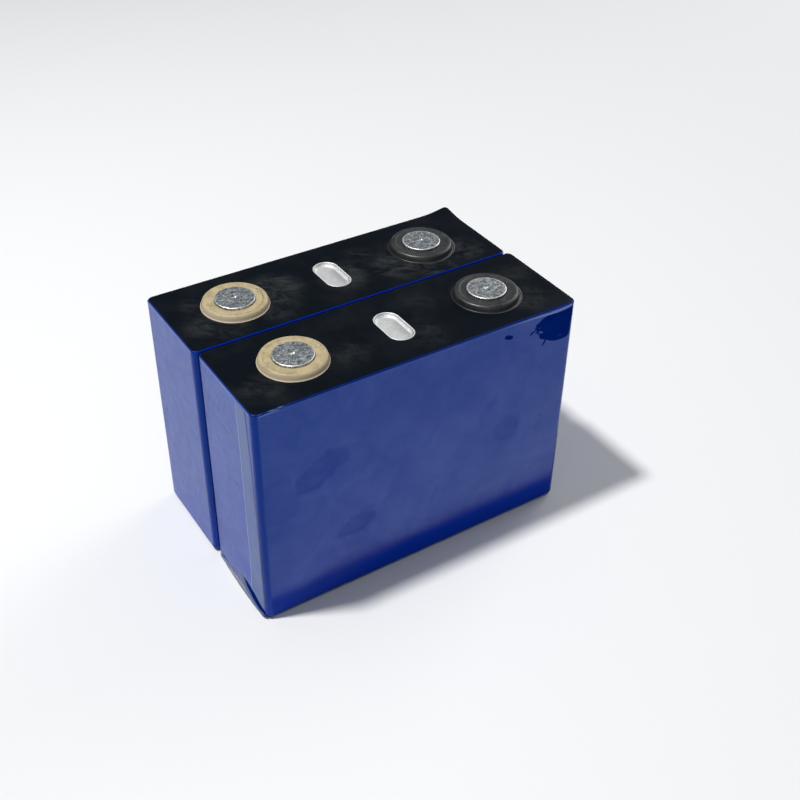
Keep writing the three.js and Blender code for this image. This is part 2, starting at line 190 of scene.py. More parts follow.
def fill_loops(borders, spacing):
    """Points and triangles of the area inside the first loop and outside the others."""
    def in_area(points):
        inside = inside_loop(points, borders[0])
        for loop in borders[1:]:
            inside &= ~inside_loop(points, loop)
        return inside

    reach = np.abs(np.array(borders[0])).max(0)
    steps = np.maximum(2, (2 * reach / spacing).astype(int))
    xs, ys = (np.linspace(-r, r, n + 1)[1:-1] for r, n in zip(reach, steps))
    field = np.array([(x, y) for y in ys for x in xs])
    keep = in_area(field)
    flat, edges = [], []
    for loop in borders:
        gaps = np.linalg.norm(field[:, None, :] - np.array(loop)[None, :, :], axis=2)
        keep &= gaps.min(1) >= 0.6 * spacing
        first = len(flat)
        flat += loop
        edges += [(first + k, first + (k + 1) % len(loop)) for k in range(len(loop))]
    flat += [tuple(p) for p in field[keep]]
    made = geometry.delaunay_2d_cdt([Vector(p) for p in flat], edges, [], 1, 1e-6)
    origin = [ids[0] for ids in made[3]]
    faces = [[origin[k] for k in face] for face in made[2]]
    middles = np.array([np.mean([flat[k] for k in face], axis=0) for face in faces])
    turned = []
    for face, good in zip(faces, in_area(middles)):
        if good:
            (ax, ay), (bx, by), (cx, cy) = (flat[k] for k in face[:3])
            area = (bx - ax) * (cy - ay) - (cx - ax) * (by - ay)
            turned.append(tuple(face if area > 0 else reversed(face)))
    return flat, turned


def holed_plate(outer, outer_profile, holes, bottom, spacing, lift=lambda x, y: 0):
    """Points and faces of a plate. outer is its loop and holes are (loop, profile) pairs, all
    anticlockwise. A profile is a list of (distance outwards, height) rows from the top side
    down to just above the bottom, where every loop is at distance 0. lift(x, y) raises it."""
    loops = [(outer, outer_profile), *holes]
    top_loops = [offset_loop(loop, profile[0][0]) for loop, profile in loops]
    upper, upper_faces = fill_loops(top_loops, spacing)
    lower, lower_faces = fill_loops([loop for loop, _ in loops], spacing)
    below = len(upper)
    points = [(x, y, outer_profile[0][1] + lift(x, y)) for x, y in upper]
    points += [(x, y, bottom + lift(x, y)) for x, y in lower]
    faces = upper_faces + [tuple(below + k for k in reversed(face)) for face in lower_faces]
    first = 0
    for number, (loop, profile) in enumerate(loops):
        count = len(loop)
        rows = [range(first, first + count)]
        for distance, height in profile[1:]:
            moved = offset_loop(loop, distance) if distance else loop
            rows.append(range(len(points), len(points) + count))
            points += [(x, y, height + lift(x, y)) for x, y in moved]
        rows.append(range(below + first, below + first + count))
        for high, low in zip(rows, rows[1:]):
            for k in range(count):
                after = (k + 1) % count
                quad = (high[k], low[k], low[after], high[after])
                faces.append(quad if number == 0 else quad[::-1])
        first += count
    return points, faces


def stacked_loops(rows, closed=False):
    """Points and faces of a solid through (loop, height) rows. It is capped at both ends, or
    else its last row joins its first."""
    count = len(rows[0][0])
    points = [(x, y, z) for loop, z in rows for x, y in loop]
    faces = grid_faces(len(rows), count, closed_rows=closed)
    if not closed:
        last = (len(rows) - 1) * count
        faces.append(tuple(range(count)))
        faces.append(tuple(reversed(range(last, last + count))))
    return points, faces


# ---- Materials --------------------

class Paint:
    """A material with one Principled shader and short ways to add nodes to it."""

    def __init__(self, name, **values):
        self.material = bpy.data.materials.new(name)
        self.material.use_nodes = True
        self.tree = self.material.node_tree
        self.shader = self.tree.nodes["Principled BSDF"]
        self.feed(self.shader, {key.replace("_", " "): value for key, value in values.items()})
        self.coordinates = self.node("TexCoord", output="Object")

    def feed(self, node, inputs):
        """Links sockets to a node's inputs, and sets plain values on them."""
        for key, value in inputs.items():
            if isinstance(value, bpy.types.NodeSocket):
                self.tree.links.new(value, node.inputs[key])
            else:
                node.inputs[key].default_value = value

    def node(self, kind, inputs=None, output=0, **settings):
        node = self.tree.nodes.new("ShaderNode" + kind)
        for key, value in settings.items():
            setattr(node, key, value)
        self.feed(node, inputs or {})
        return node.outputs[output]

    def noise(self, scale, detail=2, roughness=0.5, turn=None, distortion=0):
        """Noise from 0 to 1 whose grains are about 1 / scale millimetres across."""
        place = self.coordinates
        if turn:
            place = self.node("Mapping", {"Vector": place, "Rotation": turn})
        factors = [s / MM for s in (scale if isinstance(scale, tuple) else (scale,) * 3)]
        place = self.node("Mapping", {"Vector": place, "Scale": factors})
        return self.node("TexNoise", {"Vector": place, "Scale": 1, "Detail": detail,
                                      "Roughness": roughness, "Distortion": distortion})

    def span(self, value, low=0.3, high=0.7, to_low=0, to_high=1):
        """A value brought from one span to another, and held within it."""
        return self.node("MapRange", {"Value": value, "From Min": low, "From Max": high,
                                      "To Min": to_low, "To Max": to_high}, clamp=True)

    def math(self, operation, a, b=0):
        return self.node("Math", {0: a, 1: b}, operation=operation)

    def times(self, value, *factors):
        for factor in factors:
            value = self.math("MULTIPLY", value, factor)
        return value

    def plus(self, a, b):
        return self.math("ADD", a, b)

    def minus(self, a, b):
        return self.math("SUBTRACT", a, b)

    def distance(self, x, y):
        return self.math("SQRT", self.plus(self.times(x, x), self.times(y, y)))

    def mix(self, share, low, high):
        """A colour between two, by a share from 0 to 1."""
        return self.node("Mix", {0: share, 6: low, 7: high}, 2, data_type="RGBA")

    def place(self, axis):
        """One of the object's coordinates, in metres."""
        return self.node("SeparateXYZ", {"Vector": self.coordinates}, axis)

    def attribute(self, name):
        return self.node("Attribute", output=2, attribute_name=name)

    def finish(self, colour, roughness=None, height=None, depth=0):
        """Links the shader. A height from 0 to 1 stands for a depth in millimetres."""
        inputs = {"Base Color": colour}
        if roughness is not None:
            inputs["Roughness"] = roughness
        if height is not None:
            inputs["Normal"] = self.node("Bump", {"Height": height, "Distance": depth * MM})
        self.feed(self.shader, inputs)
        return self.material


def rgb(red, green, blue):
    return (red, green, blue, 1)


def film_material(prefix):
    """Deep blue film. Its pale haze is painted into its colour, standing in partly for the floor's
    reflection, with its own tint on the narrow faces. The haze is taken away as painted shade at
    the foot, the corners and the top edges, the creases of the narrow faces are darkened as
    painted shade, and the pale lines are painted highlights.
    """
    paint = Paint(f"{prefix}_film", Specular_IOR_Level=0.95, Specular_Tint=rgb(0.03, 0.29, 1))
    narrow, haze, wet, pale = map(paint.attribute, ("narrow", "haze", "wet", "pale"))
    height = paint.place(2)
    blotches = paint.noise(0.055, 4, 0.6, distortion=0.9)
    smudges = paint.noise(0.24, 4, 0.6)
    share = paint.times(haze, paint.span(blotches, 0.34, 0.64, 0.62, 1),
                        paint.span(smudges, 0.3, 0.7, 0.86, 1))
    # Painted light: the clean blue is brighter towards the foot, standing in for light bounced off
    # the floor.
    clean = paint.mix(paint.span(height, 13 * MM, 26 * MM),
                      rgb(0.0002, 0.005, 0.245), rgb(0.0004, 0.006, 0.18))
    # Painted shade: on the foot band of the wide faces the blue is more saturated and the
    # reflection weaker, standing in for the reflection of the floor's shadow.
    clean = paint.mix(wet, clean, rgb(0.0006, 0.025, 0.305))
    paint.feed(paint.shader, {"IOR": paint.span(wet, 0, 1, 1.5, 1.1)})
    hazy = paint.mix(narrow, rgb(0.062, 0.083, 0.312), rgb(0.029, 0.07, 0.368))
    film = paint.mix(share, clean, hazy)
    # Painted shade: where the haze falls below 0, at the top edges, corners and crumples, the film
    # is navy.
    film = paint.mix(paint.span(haze, 0, -1), film, rgb(0.0003, 0.006, 0.055))
    rim = paint.span(height, 113.1 * MM, 113.9 * MM, 0, 0.28)
    satin = paint.plus(paint.times(narrow, 0.14), rim)
    streaks = paint.noise((0.3, 0.1, 0.95), turn=(radians(-6), 0, 0))
    patches = paint.noise(0.07, 1)
    creases = paint.times(paint.span(streaks, 0.52, 0.66), paint.span(patches, 0.42, 0.58), narrow)
    # Painted shade: the creases are darkened in colour as well as in relief.
    film = paint.mix(paint.times(creases, 0.38), film, rgb(0.002, 0.01, 0.12))
    relief = paint.minus(paint.noise(0.12), paint.times(creases, 0.45))
    # The pale lines are painted highlights.
    return paint.finish(paint.mix(pale, film, rgb(0.2, 0.27, 0.56)),
                        paint.plus(paint.span(smudges, 0.3, 0.75, 0.15, 0.24), satin), relief, 0.1)


def sheet_material(prefix):
    """Black plastic sheet with dust, faint scuffs and a fine grain, and a painted highlight on its
    cut edge round the negative terminal.
    """
    paint = Paint(f"{prefix}_top_sheet", Specular_IOR_Level=0.05)
    patches = paint.noise((0.09, 0.16, 0.1), 8, 0.84, (0, 0, radians(35)), 0.7)
    dusty = paint.times(paint.attribute("dust"), paint.span(patches, 0.43, 0.69))
    veil = paint.span(paint.noise(0.05, 4, 0.6), 0.48, 0.8, 0.03, 0.2)
    specks = paint.span(paint.noise(2.2, 1), 0.74, 0.8)
    share = paint.math("MAXIMUM", paint.plus(dusty, veil), paint.times(specks, 0.5))
    black = paint.mix(share, rgb(0.0008, 0.0028, 0.0062), rgb(0.04, 0.043, 0.042))
    return paint.finish(paint.mix(cut_edge_share(paint, prefix), black, rgb(0.16, 0.165, 0.17)),
                        paint.span(patches, 0.3, 0.7, 0.4, 0.55), paint.noise(1.6, 3), 0.012)


def cut_edge_share(paint, prefix):
    """Where the raw edge of the black sheet shows round the negative terminal: partly the edge's
    own lighter colour, partly a painted highlight, strongest on its right and front side where it
    faces the light.
    """
    middle = cell_middle(prefix)
    x = paint.minus(paint.place(0), middle.x + TERMINAL_X["negative"] * MM)
    y = paint.minus(paint.place(1), middle.y)
    radius = paint.distance(x, y)
    hole = SHEET_HOLE_RADIUS["negative"] * MM
    return paint.times(paint.span(radius, hole + 0.3 * MM, hole + 0.16 * MM),
                       paint.span(paint.minus(x, y), -2 * MM, 12 * MM, 0.05, 1),
                       paint.span(paint.noise(1.4), 0.3, 0.5, 0.4, 1))


def collar_material(name, level, dark, light, low):
    """Moulded plastic. low is the colour painted on its lower walls, as painted light on the tan
    collars and painted shade on the black ones, and on the tan collars' pale gate mark.
    """
    paint = Paint(name, Specular_IOR_Level=level)
    mottle = paint.noise(0.22, 5, 0.62, distortion=0.5)
    grime = paint.noise(0.8, 4, 0.7)
    share = paint.times(paint.span(mottle, 0.3, 0.6), paint.span(grime, 0.25, 0.5, 0.75, 1))
    # Dark residue marks, with painted shade round the gate's lump and in the groove.
    marks = paint.times(paint.attribute("grime"), paint.span(paint.noise(1.8, 3), 0.42, 0.6))
    clean = paint.mix(paint.attribute("sunk"), paint.mix(share, dark, light), low)
    return paint.finish(paint.mix(marks, clean, rgb(0.05, 0.05, 0.045)),
                        paint.span(grime, 0.3, 0.7, 0.36, 0.52), grime, 0.03)


def pad_material():
    """Turned aluminium, mottled and scratched, with a painted highlight on its bevelled edge and a
    pale curl by its centre mark.
    """
    paint = Paint("pad_aluminium", Metallic=1)
    lumps = paint.noise((0.42, 0.62, 0.5), distortion=0.9)
    curls = paint.math("ABSOLUTE", paint.minus(paint.noise(0.3, 1, distortion=1.6), 0.5))
    flecks = paint.noise((0.6, 1.1, 0.8), 1.5, distortion=0.8)
    face = paint.mix(paint.span(lumps, 0.38, 0.62), rgb(0.2, 0.23, 0.25), rgb(0.5, 0.53, 0.54))
    face = paint.mix(paint.span(flecks, 0.54, 0.68, 0, 0.8), face, rgb(0.72, 0.74, 0.75))
    face = paint.mix(paint.span(curls, 0.03, 0.008, 0, 0.9), face, rgb(0.92, 0.93, 0.92))
    return paint.finish(paint.mix(paint.attribute("edge"), face, rgb(0.86, 0.85, 0.8)),
                        paint.span(flecks, 0.3, 0.7, 0.36, 0.5),
                        paint.plus(lumps, paint.times(flecks, 0.5)), 0.25)


def metal_material(name, dark, light, rough, grain=(0.3, 0.3, 0.3), depth=0.01, groove=None):
    """Rolled or stamped sheet metal. The last argument, if given, is the dark colour painted into
    its
    grooves and edges: partly dirt, partly painted shade.
    """
    paint = Paint(name, Metallic=1)
    fine = paint.noise(tuple(4 * g for g in grain), 3)
    metal = paint.mix(paint.span(paint.noise(grain, 4, 0.6)), dark, light)
    if groove:
        metal = paint.mix(paint.attribute("groove"), metal, groove)
    return paint.finish(metal, paint.span(fine, 0.3, 0.7, *rough), fine, depth)


def plastic_material(name, dark, light, rough=(0.4, 0.55)):
    paint = Paint(name, Specular_IOR_Level=0.4)
    fine = paint.noise(1.5, 3)
    return paint.finish(paint.mix(paint.span(paint.noise(0.15, 4, 0.6)), dark, light),
                        paint.span(fine, 0.3, 0.7, *rough), fine, 0.02)


def stain_material():
    """Where the film lies wet on the can: darker, with no haze. The same dark film, with no
    reflection, lines the inside of the front cell's open fold as painted shade.
    """
    paint = Paint("film_wet_patch", IOR=1, Roughness=0.25)
    tone = paint.span(paint.noise(0.12))
    return paint.finish(paint.mix(tone, rgb(0.0003, 0.012, 0.14), rgb(0.0012, 0.018, 0.175)))


def fold_material():
    """The folded underlayer of the film, milky towards its lower edge, with a pale line across it,
    and darkened just under the panel's edge as painted shade.
    """
    paint = Paint("film_fold", Specular_IOR_Level=0.3)
    cloud = paint.noise(0.3, 3)
    share = paint.plus(paint.attribute("rise"), paint.span(cloud, 0.3, 0.7, -0.06, 0.06))
    film = paint.mix(paint.span(share, 0.05, 0.45), rgb(0.15, 0.19, 0.22), rgb(0.045, 0.075, 0.26))
    # Painted shade just under the panel's edge.
    film = paint.mix(paint.span(share, 0.62, 0.98), film, rgb(0.004, 0.014, 0.13))
    line = paint.times(paint.span(share, 0.24, 0.3), paint.span(share, 0.4, 0.32))
    return paint.finish(paint.mix(line, film, rgb(0.26, 0.31, 0.44)),
                        paint.span(cloud, 0.3, 0.7, 0.18, 0.3))


def seam_material():
    """The overlap of the film's ends: greyer and a little duller than the single film. A pale line
    along its inner edge is partly the cut edge's own colour and partly painted highlight, and a
    dark line along its outer edge is painted shade.
    """
    paint = Paint("film_seam", Specular_IOR_Level=0.62, Specular_Tint=rgb(0.5, 0.68, 1))
    cloud = paint.noise(0.1, 3, 0.6)
    edge = paint.attribute("edge")
    film = paint.mix(paint.span(cloud), rgb(0.036, 0.078, 0.27), rgb(0.05, 0.096, 0.31))
    film = paint.mix(paint.span(edge, 0, -0.8), film, rgb(0.0006, 0.008, 0.1))
    return paint.finish(paint.mix(paint.span(edge, 0, 1), film, rgb(0.26, 0.32, 0.56)),
                        paint.span(cloud, 0.3, 0.7, 0.3, 0.38), paint.noise(0.5), 0.02)


def roll_material(name, middle, depth):
    """A wound roll on end: fine turns of foil and separator round its flat core."""
    paint = Paint(name, Specular_IOR_Level=0.4)
    along = paint.math("ABSOLUTE", paint.minus(paint.place(0), middle.x))
    along = paint.math("MAXIMUM", paint.minus(along, (ROLL_LENGTH * MM - depth) / 2), 0)
    across = paint.minus(paint.place(1), middle.y)
    radius = paint.distance(along, across)
    turns = paint.span(paint.math("SINE", paint.times(radius, 7 / MM)), -0.8, 0.8)
    grain = paint.noise(0.7, 4)
    share = paint.plus(turns, paint.span(grain, 0.3, 0.7, -0.25, 0.25))
    return paint.finish(paint.mix(share, rgb(0.035, 0.036, 0.04), rgb(0.23, 0.23, 0.235)),
                        paint.span(grain, 0.3, 0.7, 0.5, 0.75), share, 0.06)


MATERIALS = {
    "front_film": film_material("front"),
    "rear_film": film_material("rear"),
    "front_sheet": sheet_material("front"),
    "rear_sheet": sheet_material("rear"),
    "positive_collar": collar_material("collar_tan", 0.35, rgb(0.33, 0.265, 0.145),
                                       rgb(0.47, 0.385, 0.225), rgb(0.56, 0.47, 0.34)),
    "negative_collar": collar_material("collar_black", 0.72, rgb(0.002, 0.003, 0.004),
                                       rgb(0.022, 0.023, 0.023), rgb(0.0008, 0.001, 0.0015)),
    "pad": pad_material(),
    "dish": metal_material("vent_aluminium", rgb(0.8, 0.81, 0.8), rgb(0.89, 0.89, 0.88),
                           (0.56, 0.66), depth=0.003, groove=rgb(0.05, 0.053, 0.056)),
    "lid": metal_material("lid_aluminium", rgb(0.5, 0.51, 0.52), rgb(0.66, 0.67, 0.68),
                          (0.35, 0.5)),
    "can": metal_material("can_aluminium", rgb(0.56, 0.57, 0.58), rgb(0.74, 0.75, 0.76),
                          (0.28, 0.42), (0.05, 0.05, 0.8)),
    "foil": metal_material("foil_aluminium", rgb(0.66, 0.67, 0.68), rgb(0.86, 0.86, 0.87),
                           (0.18, 0.32), (0.4, 0.4, 0.05)),
    "copper": metal_material("copper", rgb(0.52, 0.23, 0.13), rgb(0.8, 0.42, 0.27),
                             (0.2, 0.36), (0.4, 0.4, 0.05)),
    "clear": plastic_material("base_sheet", rgb(0.24, 0.29, 0.36), rgb(0.38, 0.44, 0.5),
                              (0.25, 0.4)),
    "rubber": plastic_material("seal_rubber", rgb(0.012, 0.012, 0.012), rgb(0.03, 0.03, 0.03),
                               (0.6, 0.8)),
    "black": plastic_material("inner_plastic", rgb(0.02, 0.021, 0.023),
                              rgb(0.045, 0.046, 0.048)),
    "white": plastic_material("spacer_plastic", rgb(0.62, 0.63, 0.61), rgb(0.78, 0.78, 0.76)),
    "bag": plastic_material("bag_film", rgb(0.6, 0.63, 0.66), rgb(0.78, 0.8, 0.82),
                            (0.25, 0.4)),
    "stain": stain_material(),
    "fold": fold_material(),
    "seam": seam_material(),
}


# ---- The wrap film --------------------

FILM_ROLL = 1
FILM_FOOT_ROLL = 2.6
FILM_SKIN = 0.14
FILM_BACK_INSET = 0.38
FILM_LIP_INSET = 0.78
FILM_TURN_IN = 12

# Points (y, z) of an end panel's lower edge, where the parcel fold opens.
FRONT_CREASE = (
    (-25, 1.2), (-23.2, 3), (-21.5, 4.6), (-18.8, 5.4), (-15.8, 7.2), (-12.2, 9),
    (-8.1, 9.6), (-6.2, 10.4), (-2.1, 9.7), (4, 7.6), (13.6, 4.2), (20, 2.2), (25, 1.2),
)
PLAIN_CREASE = ((-25, 1.2), (-18, 3.4), (-5, 6.2), (3, 6.5), (16, 3.6), (25, 1.2))

# Pressed marks in the wide faces: side, place along x, height, half sizes, lean, depth.
PRESS_MARKS = {
    "front": (
        (-1, -52, 74, 16, 7.5, 0.62, 0.16),
        (-1, -46, 77, 10.5, 7.5, 0.15, 0.1),
        (-1, -33.5, 36, 11.5, 5.5, 0.15, 0.15),
        (-1, -31, 40, 9, 4, 0.35, 0.08),
        (-1, 46, 56, 8, 8.5, 0.2, 0.14),
        (-1, 37, 75, 4.5, 2.5, 0.8, 0.1),
        (-1, 64.5, 53, 2.5, 5.5, -0.4, 0.1),
        (-1, -12, 70, 12, 9, 0.3, 0.03),
        (-1, 8, 34, 14, 6, -0.2, 0.03),
        (-1, -71, 66, 11, 15, 0.1, 0.06),
        (-1, -18, 95, 13, 8, 0.2, 0.035),
        (-1, 24, 97, 17, 9, -0.1, 0.035),
        (-1, -24, 60, 6, 3.5, 0.9, 0.05),
        (-1, 22, 52, 5, 7, 0.3, 0.03),
        (-1, 58, 88, 6, 4, -0.5, 0.05),
        (1, -30, 60, 12, 8, 0.4, 0.14),
        (1, 35, 45, 9, 10, 0.1, 0.14),
    ),
    "rear": (
        (1, -48, 72, 12, 8, -0.5, 0.15),
        (1, 22, 40, 11, 6, 0.3, 0.14),
        (1, 55, 80, 7, 9, 0.2, 0.14),
        (-1, 10, 60, 12, 8, 0.4, 0.12),
    ),
}

# Points (x, z) of a pale line painted as a highlight where the film is stretched over the front
# cell's upper edge.
BEAD = ((30, 113.4), (44, 113.2), (58, 112.9), (66, 112.3), (73, 112.5), (78, 113.1))

# Places (y, z) of short slanting dark strokes on the front cell's left end.
SCUFFS = ((4.6, 102.6), (-0.8, 102.2), (-2.2, 99.5), (-1.6, 96), (-4.4, 93.5), (7.5, 98))


def wobble(seed, *place):
    """Smooth noise from about -1 to 1."""
    shift = Vector((seed * 17.3, seed * 5.1, seed * 9.7))
    return noise.noise(Vector((*place, 0, 0)[:3]) + shift)


def smooth(low, high, value):
    """0 at low and 1 at high, with an easy run between them."""
    t = min(1, max(0, (value - low) / (high - low)))
    return t * t * (3 - 2 * t)


def bell(value, width):
    """1 at 0, falling off smoothly over a width on either side."""
    return exp(-(value / width) ** 2)


def height_at(line, along):
    return float(np.interp(along, *zip(*line)))


def end_crease(prefix, side, y):
    """The height of an end panel's lower edge."""
    return height_at(FRONT_CREASE if prefix == "front" and side < 0 else PLAIN_CREASE, y)


def press_depth(marks, side, x, z):
    """How deep the pressed marks of a wide face are at a point, and their share from 0 to 1."""
    depth, share = 0, 0
    for mark_side, mx, mz, half_x, half_z, lean, deep in marks:
        if mark_side != side:
            continue
        u = ((x - mx) * cos(lean) + (z - mz) * sin(lean)) / half_x
        v = (-(x - mx) * sin(lean) + (z - mz) * cos(lean)) / half_z
        reach = hypot(u, v) + 0.22 * wobble(mx, x / 4.5, z / 4.5)
        inside = 1 - smooth(0.68, 1.02, reach)
        depth = max(depth, deep * inside)
        patchy = 0.72 + 0.45 * wobble(mz, x / 5, z / 3.5) + 0.35 * smooth(0.5, 0.85, reach)
        share = max(share, inside * patchy * deep / 0.16)
    return depth, share


def end_wrinkles(seed, y, z):
    """Fine slanting wrinkles of the narrow faces, in millimetres."""
    patch = smooth(0, 0.35, wobble(seed + 3, y / 18, z / 26) + 0.12)
    return 0.055 * patch * wobble(seed + 1, (y + 0.55 * z) / 1.9, (z - 0.55 * y) / 14)


def crumple(prefix, x, y, z):
    """How crumpled the film is at the front cell's left front top corner, from 0 to 1."""
    if prefix != "front" or z < FILM_HIGH.z - 7:
        return 0
    away = hypot(x + HALF_WIDTH - 2.5, y + HALF_DEPTH - 0.5)
    return bell(away, 6) * smooth(6.5, 0.8, FILM_HIGH.z - z)


def film_offset(prefix, seed, column, x, y, z):
    """How far the film stands out from its nominal face, in millimetres."""
    side_x, side_y = column[:2]
    out = -FILM_SKIN + 0.04 * wobble(seed, x / 30, y / 30, z / 30)
    out -= 0.22 * crumple(prefix, x, y, z) * abs(wobble(seed + 9, x / 1.6, y / 1.6, z / 0.9))
    fade = smooth(0, 6, z) * smooth(0, 5, FILM_HIGH.z - z)
    if side_y:
        out -= press_depth(PRESS_MARKS[prefix], side_y, x, z)[0] * fade
        out += 0.02 * wobble(seed + 5, x / 9, z / 9) * fade
    if side_x:
        out += end_wrinkles(seed + 2 * side_x, y, z) * fade
        out += 0.05 * wobble(seed + 7, y / 11, z / 16 + side_x) * fade
    if prefix == "front" and side_y < 0:
        out += 0.08 * smooth(35, 62, x) * bell(FILM_HIGH.z - 2 - z, 0.7)
    return out


def end_flare(prefix, side, y, z, crease):
    """The left end of the front cell stands off the can above its open fold."""
    if prefix != "front" or side >= 0:
        return 0
    across = max(0, 1 - ((y + 2) / 21) ** 2)
    return 0.75 * across * bell(z - crease, 9)


def film_pale(prefix, column, x, y, z):
    """How much pale highlight is painted on the film, from 0 to 1: along the stretched upper edge
    of the front cell's front face, along the top of the left ends, on the rear cell's left fold
    crease and as glints in the front cell's crumpled corner.
    """
    side_x, side_y = column[:2]
    if prefix == "rear" and side_x < 0 and z < 9:
        return 0.35 * bell(z - end_crease(prefix, side_x, y) - 0.2, 0.45)
    if z < FILM_HIGH.z - 4:
        return 0
    if side_x < 0:
        return 0.72 * bell(z - FILM_HIGH.z + 0.75, 0.32)
    if prefix == "front" and side_y < 0:
        line = bell(z - height_at(BEAD, x), 0.35 + 0.2 * smooth(50, 70, x))
        glint = smooth(0, 0.3, wobble(7, x / 3, z / 0.3)) * smooth(-62, -72, x)
        glint *= smooth(FILM_HIGH.z - 1.6, FILM_HIGH.z - 0.9, z)
        return max(line * (0.1 + 0.85 * smooth(32, 62, x)), 0.8 * glint)
    return 0


def film_haze(prefix, seed, column, x, y, z):
    """How hazy the film is, from 0 (deep blue) to 1; below 0 it is navy. It also carries painted
    light and shade: the haze thins upwards, is taken away at the foot of the wide faces, at the
    corners and in the crumples, and goes navy along the top edges.
    """
    side_x, side_y = column[:2]
    # Painted shade in the crumples of the front cell's left front top corner.
    grip = 0.9 * crumple(prefix, x, y, z) * smooth(0, 0.4, wobble(3, x / 3, z / 0.35))
    if side_y:
        along = x * -side_y
        _, share = press_depth(PRESS_MARKS[prefix], side_y, x, z)
        blotch = 0.5 + 0.5 * wobble(seed + 11, x / 22, z / 18)
        haze = (1 - 0.8 * min(share, 1)) * (1 - 0.42 * blotch) * (1 - 0.24 * smooth(30, 105, z))
        haze *= 1 - 0.34 * smooth(-62, -72, along) * smooth(92, 72, z)
        haze *= 1 - 0.16 * smooth(8, 40, along)
        # Painted shade: the haze is taken away at the foot, standing in for the reflection of the
        # floor's shadow.
        reach = 0.7 + 0.3 * smooth(-58, -2, along + 3 * (10 - z))
        haze *= 1 - reach * smooth(18, 10, z)
        # Painted shade: the top edge of the front-facing wide face goes navy.
        edge = smooth(FILM_HIGH.z - 1.1, FILM_HIGH.z - 0.5, z)
        navy = (0.65 + 0.35 * wobble(seed + 12, x / 5)) * (1 if prefix == "front" else 0.1)
        return haze - edge * (haze + navy) * (side_y < 0) - grip
    if side_x:
        haze = 0.85 - 0.2 * abs(wobble(seed + 13, y / 10, z / 16))
        if prefix == "front" and side_x < 0:
            for place_y, place_z in SCUFFS:
                u, v = y - place_y, z - place_z
                haze -= 0.6 * bell(u + 0.4 * v, 0.45) * bell(v - 0.4 * u, 1.5)
        # Painted shade: the top edge of the left end goes navy.
        edge = smooth(FILM_HIGH.z - 0.6, FILM_HIGH.z - 0.3, z)
        return haze - edge * (haze + 0.7) * (side_x < 0) - grip
    # Painted shade at the rounded corners, standing in for a dark reflection there.
    return 0.14 - 0.26 * sin(2 * column[4]) ** 2 - grip


def film_rows():
    """The film's section from the lip down the outside, in under the can and back up. Each row
    is (part, share, inset, height)."""
    rows = []
    for share in np.linspace(1, 0, 8):
        angle = acos(1 - FILM_LIP_INSET / FILM_ROLL) * share
        height = FILM_HIGH.z - FILM_ROLL * (1 - sin(angle))
        rows.append(("lip", share, FILM_ROLL * (1 - cos(angle)), height))
    shares = [0.004, 0.008, 0.012, 0.017, 0.023, 0.031, 0.042, *np.linspace(0.055, 1, 92)]
    rows += [("wall", share, 0, 0) for share in shares]
    rows += [("foot", share, 0, 0) for share in (0, 0.03, 0.15, 0.4, 0.7, 1)]
    for angle in np.linspace(0, pi / 2, 8)[1:]:
        height = FILM_LOW.z + FILM_FOOT_ROLL * (1 - sin(angle))
        rows.append(("under", 0, FILM_FOOT_ROLL * (1 - cos(angle)), height))
    rows += [("under", 0, inset, FILM_LOW.z) for inset in (4, 6, 9, FILM_TURN_IN)]
    rows += [("back", 0, inset, FILM_LOW.z + 0.12) for inset in (FILM_TURN_IN, 6, 3)]
    rows += [("back", 0, FILM_BACK_INSET, height)
             for height in (FILM_LOW.z + 2.2, 15, 55, 100, FILM_HIGH.z - 0.8)]
    return rows + [("back", 0, FILM_LIP_INSET, FILM_HIGH.z - 0.25)]


def build_film(prefix, seed):
    columns = outline_columns(wide=80, narrow=88, corner=8)
    rows = film_rows()
    points, haze, pale, wet = [], [], [], []
    wall_top = FILM_HIGH.z - FILM_ROLL
    wall_foot = FILM_LOW.z + FILM_FOOT_ROLL
    for part, share, inset, height in rows:
        for column, (x, y) in zip(columns, outline(inset, columns)):
            side, angle = column[0], column[4]
            crease = max(end_crease(prefix, side, y) if side else 0, wall_foot + 0.25)
            z, out = height, 0
            if part == "wall":
                z = wall_top + (crease - wall_top) * share
                out = film_offset(prefix, seed, column, x, y, z)
                out += end_flare(prefix, side, y, z, crease)
            elif part == "foot":
                z = crease - 0.06 + (wall_foot - crease + 0.06) * share
                out = film_offset(prefix, seed, column, x, y, z) - 0.12 * (1 - share)
            elif part == "lip":
                out = film_offset(prefix, seed, column, x, y, z) * (1 - share)
            elif part == "under" and inset < FILM_FOOT_ROLL - 0.05:
                out = -FILM_SKIN
            points.append((x + out * cos(angle), y + out * sin(angle), z))
            haze.append(film_haze(prefix, seed, column, x, y, z))
            pale.append(film_pale(prefix, column, x, y, z))
            # The foot band below 17 mm on the wide faces, painted as shade.
            wet.append(abs(column[1]) * smooth(17, 9.5, z))
    narrow = [abs(column[0]) for _ in rows for column in columns]
    shape = points, grid_faces(len(rows), len(columns), closed_rows=True)
    add_piece(prefix, "film", shape, f"{prefix}_film", "blue_film", "wrap_film", sharp=60,
              haze=haze, pale=pale, wet=wet, narrow=narrow)


# ---- Small film pieces --------------------

